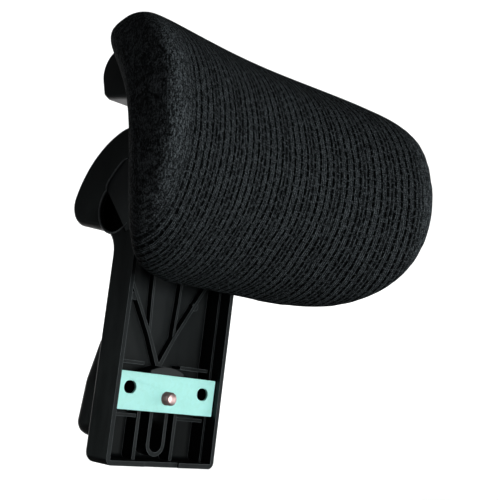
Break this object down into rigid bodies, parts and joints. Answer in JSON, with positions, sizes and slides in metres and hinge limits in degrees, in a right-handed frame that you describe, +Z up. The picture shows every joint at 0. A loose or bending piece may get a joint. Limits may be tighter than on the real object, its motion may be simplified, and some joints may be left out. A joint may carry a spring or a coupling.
{
  "type": "chair headrest attachment",
  "caption": "Padded saddle-shaped headrest on a slotted, tilting support arm that a hand knob clamps to a mounting plate behind a chair's back frame.",
  "frame": {"origin": "middle of the two mounting slots, on the front face of the steel plate", "axes": "+X to the right seen from the front, +Y to the rear of the chair, +Z up"},
  "size_m": [0.2188, 0.1691, 0.2478],
  "materials": {
    "zinc": "galvanised, pale, fine spangle",
    "pad_rubber": "matte moulded",
    "bolt_steel": "zinc plated, warm tint",
    "steel": "zinc plated",
    "spring_steel": "oiled spring steel",
    "friction": "pressed fibre friction disc",
    "bush": "acetal bush",
    "arm_plastic": "black moulded plastic, semi-gloss fine grain",
    "cap_plastic": "dark grey moulded plastic, satin",
    "board": "curved plywood",
    "foam": "moulded open-cell foam",
    "mesh_fabric": "black spacer mesh knit with small perforations",
    "welt": "black elastic webbing"
  },
  "bodies": {
    "mount": {"mount_plate": "zinc", "backing_pad": "pad_rubber"},
    "clamp_washer": {"knob_washer": "steel"},
    "knob": {"clamp_bolt": "bolt_steel", "clamp_knob": "arm_plastic", "knob_insert": "steel", "knob_cap": "cap_plastic"},
    "arm": {"support_arm": "arm_plastic", "left_access_cap": "cap_plastic", "right_access_cap": "cap_plastic", "tilt_bolt": "steel", "tilt_nut": "steel", "tilt_disc_springs": "spring_steel", "tilt_friction_discs": "friction"},
    "link": {"tilt_link": "arm_plastic", "lower_bush": "bush", "upper_bush": "bush"},
    "pillow": {"hinge_bracket": "steel", "hinge_bolt": "steel", "hinge_nut": "steel", "hinge_disc_springs": "spring_steel", "hinge_friction_discs": "friction", "rear_shell": "arm_plastic", "hinge_cover": "arm_plastic", "bracket_screws": "steel", "cover_screws": "steel", "core_board": "board", "shell_screws": "steel", "foam_pad": "foam", "mesh_cover": "mesh_fabric", "hem_welt": "welt"}
  },
  "joints": [
    {"name": "clamp_draw", "type": "slide", "parent": "mount", "child": "clamp_washer", "axis": [0, 1, 0], "range_m": [0, 0.0025]},
    {"name": "knob_turn", "type": "hinge", "parent": "clamp_washer", "child": "knob", "pos_m": [0, 0.02, -0.0046], "axis": [0, 1, 0], "range_deg": [0, 720]},
    {"name": "arm_slide", "type": "slide", "parent": "mount", "child": "arm", "axis": [0, 0, 1], "range_m": [-0.0105, 0.0283]},
    {"name": "link_tilt", "type": "hinge", "parent": "arm", "child": "link", "pos_m": [0, 0.0216, 0.1128], "axis": [-1, 0, 0], "range_deg": [-12, 25]},
    {"name": "pillow_tilt", "type": "hinge", "parent": "link", "child": "pillow", "pos_m": [0, 0.01888, 0.18095], "axis": [-1, 0, 0], "range_deg": [0, 35]}
  ],
  "couplings": [
    {"joint": "clamp_draw", "follows": "knob_turn", "m_per_rad": 0.00019894}
  ]
}
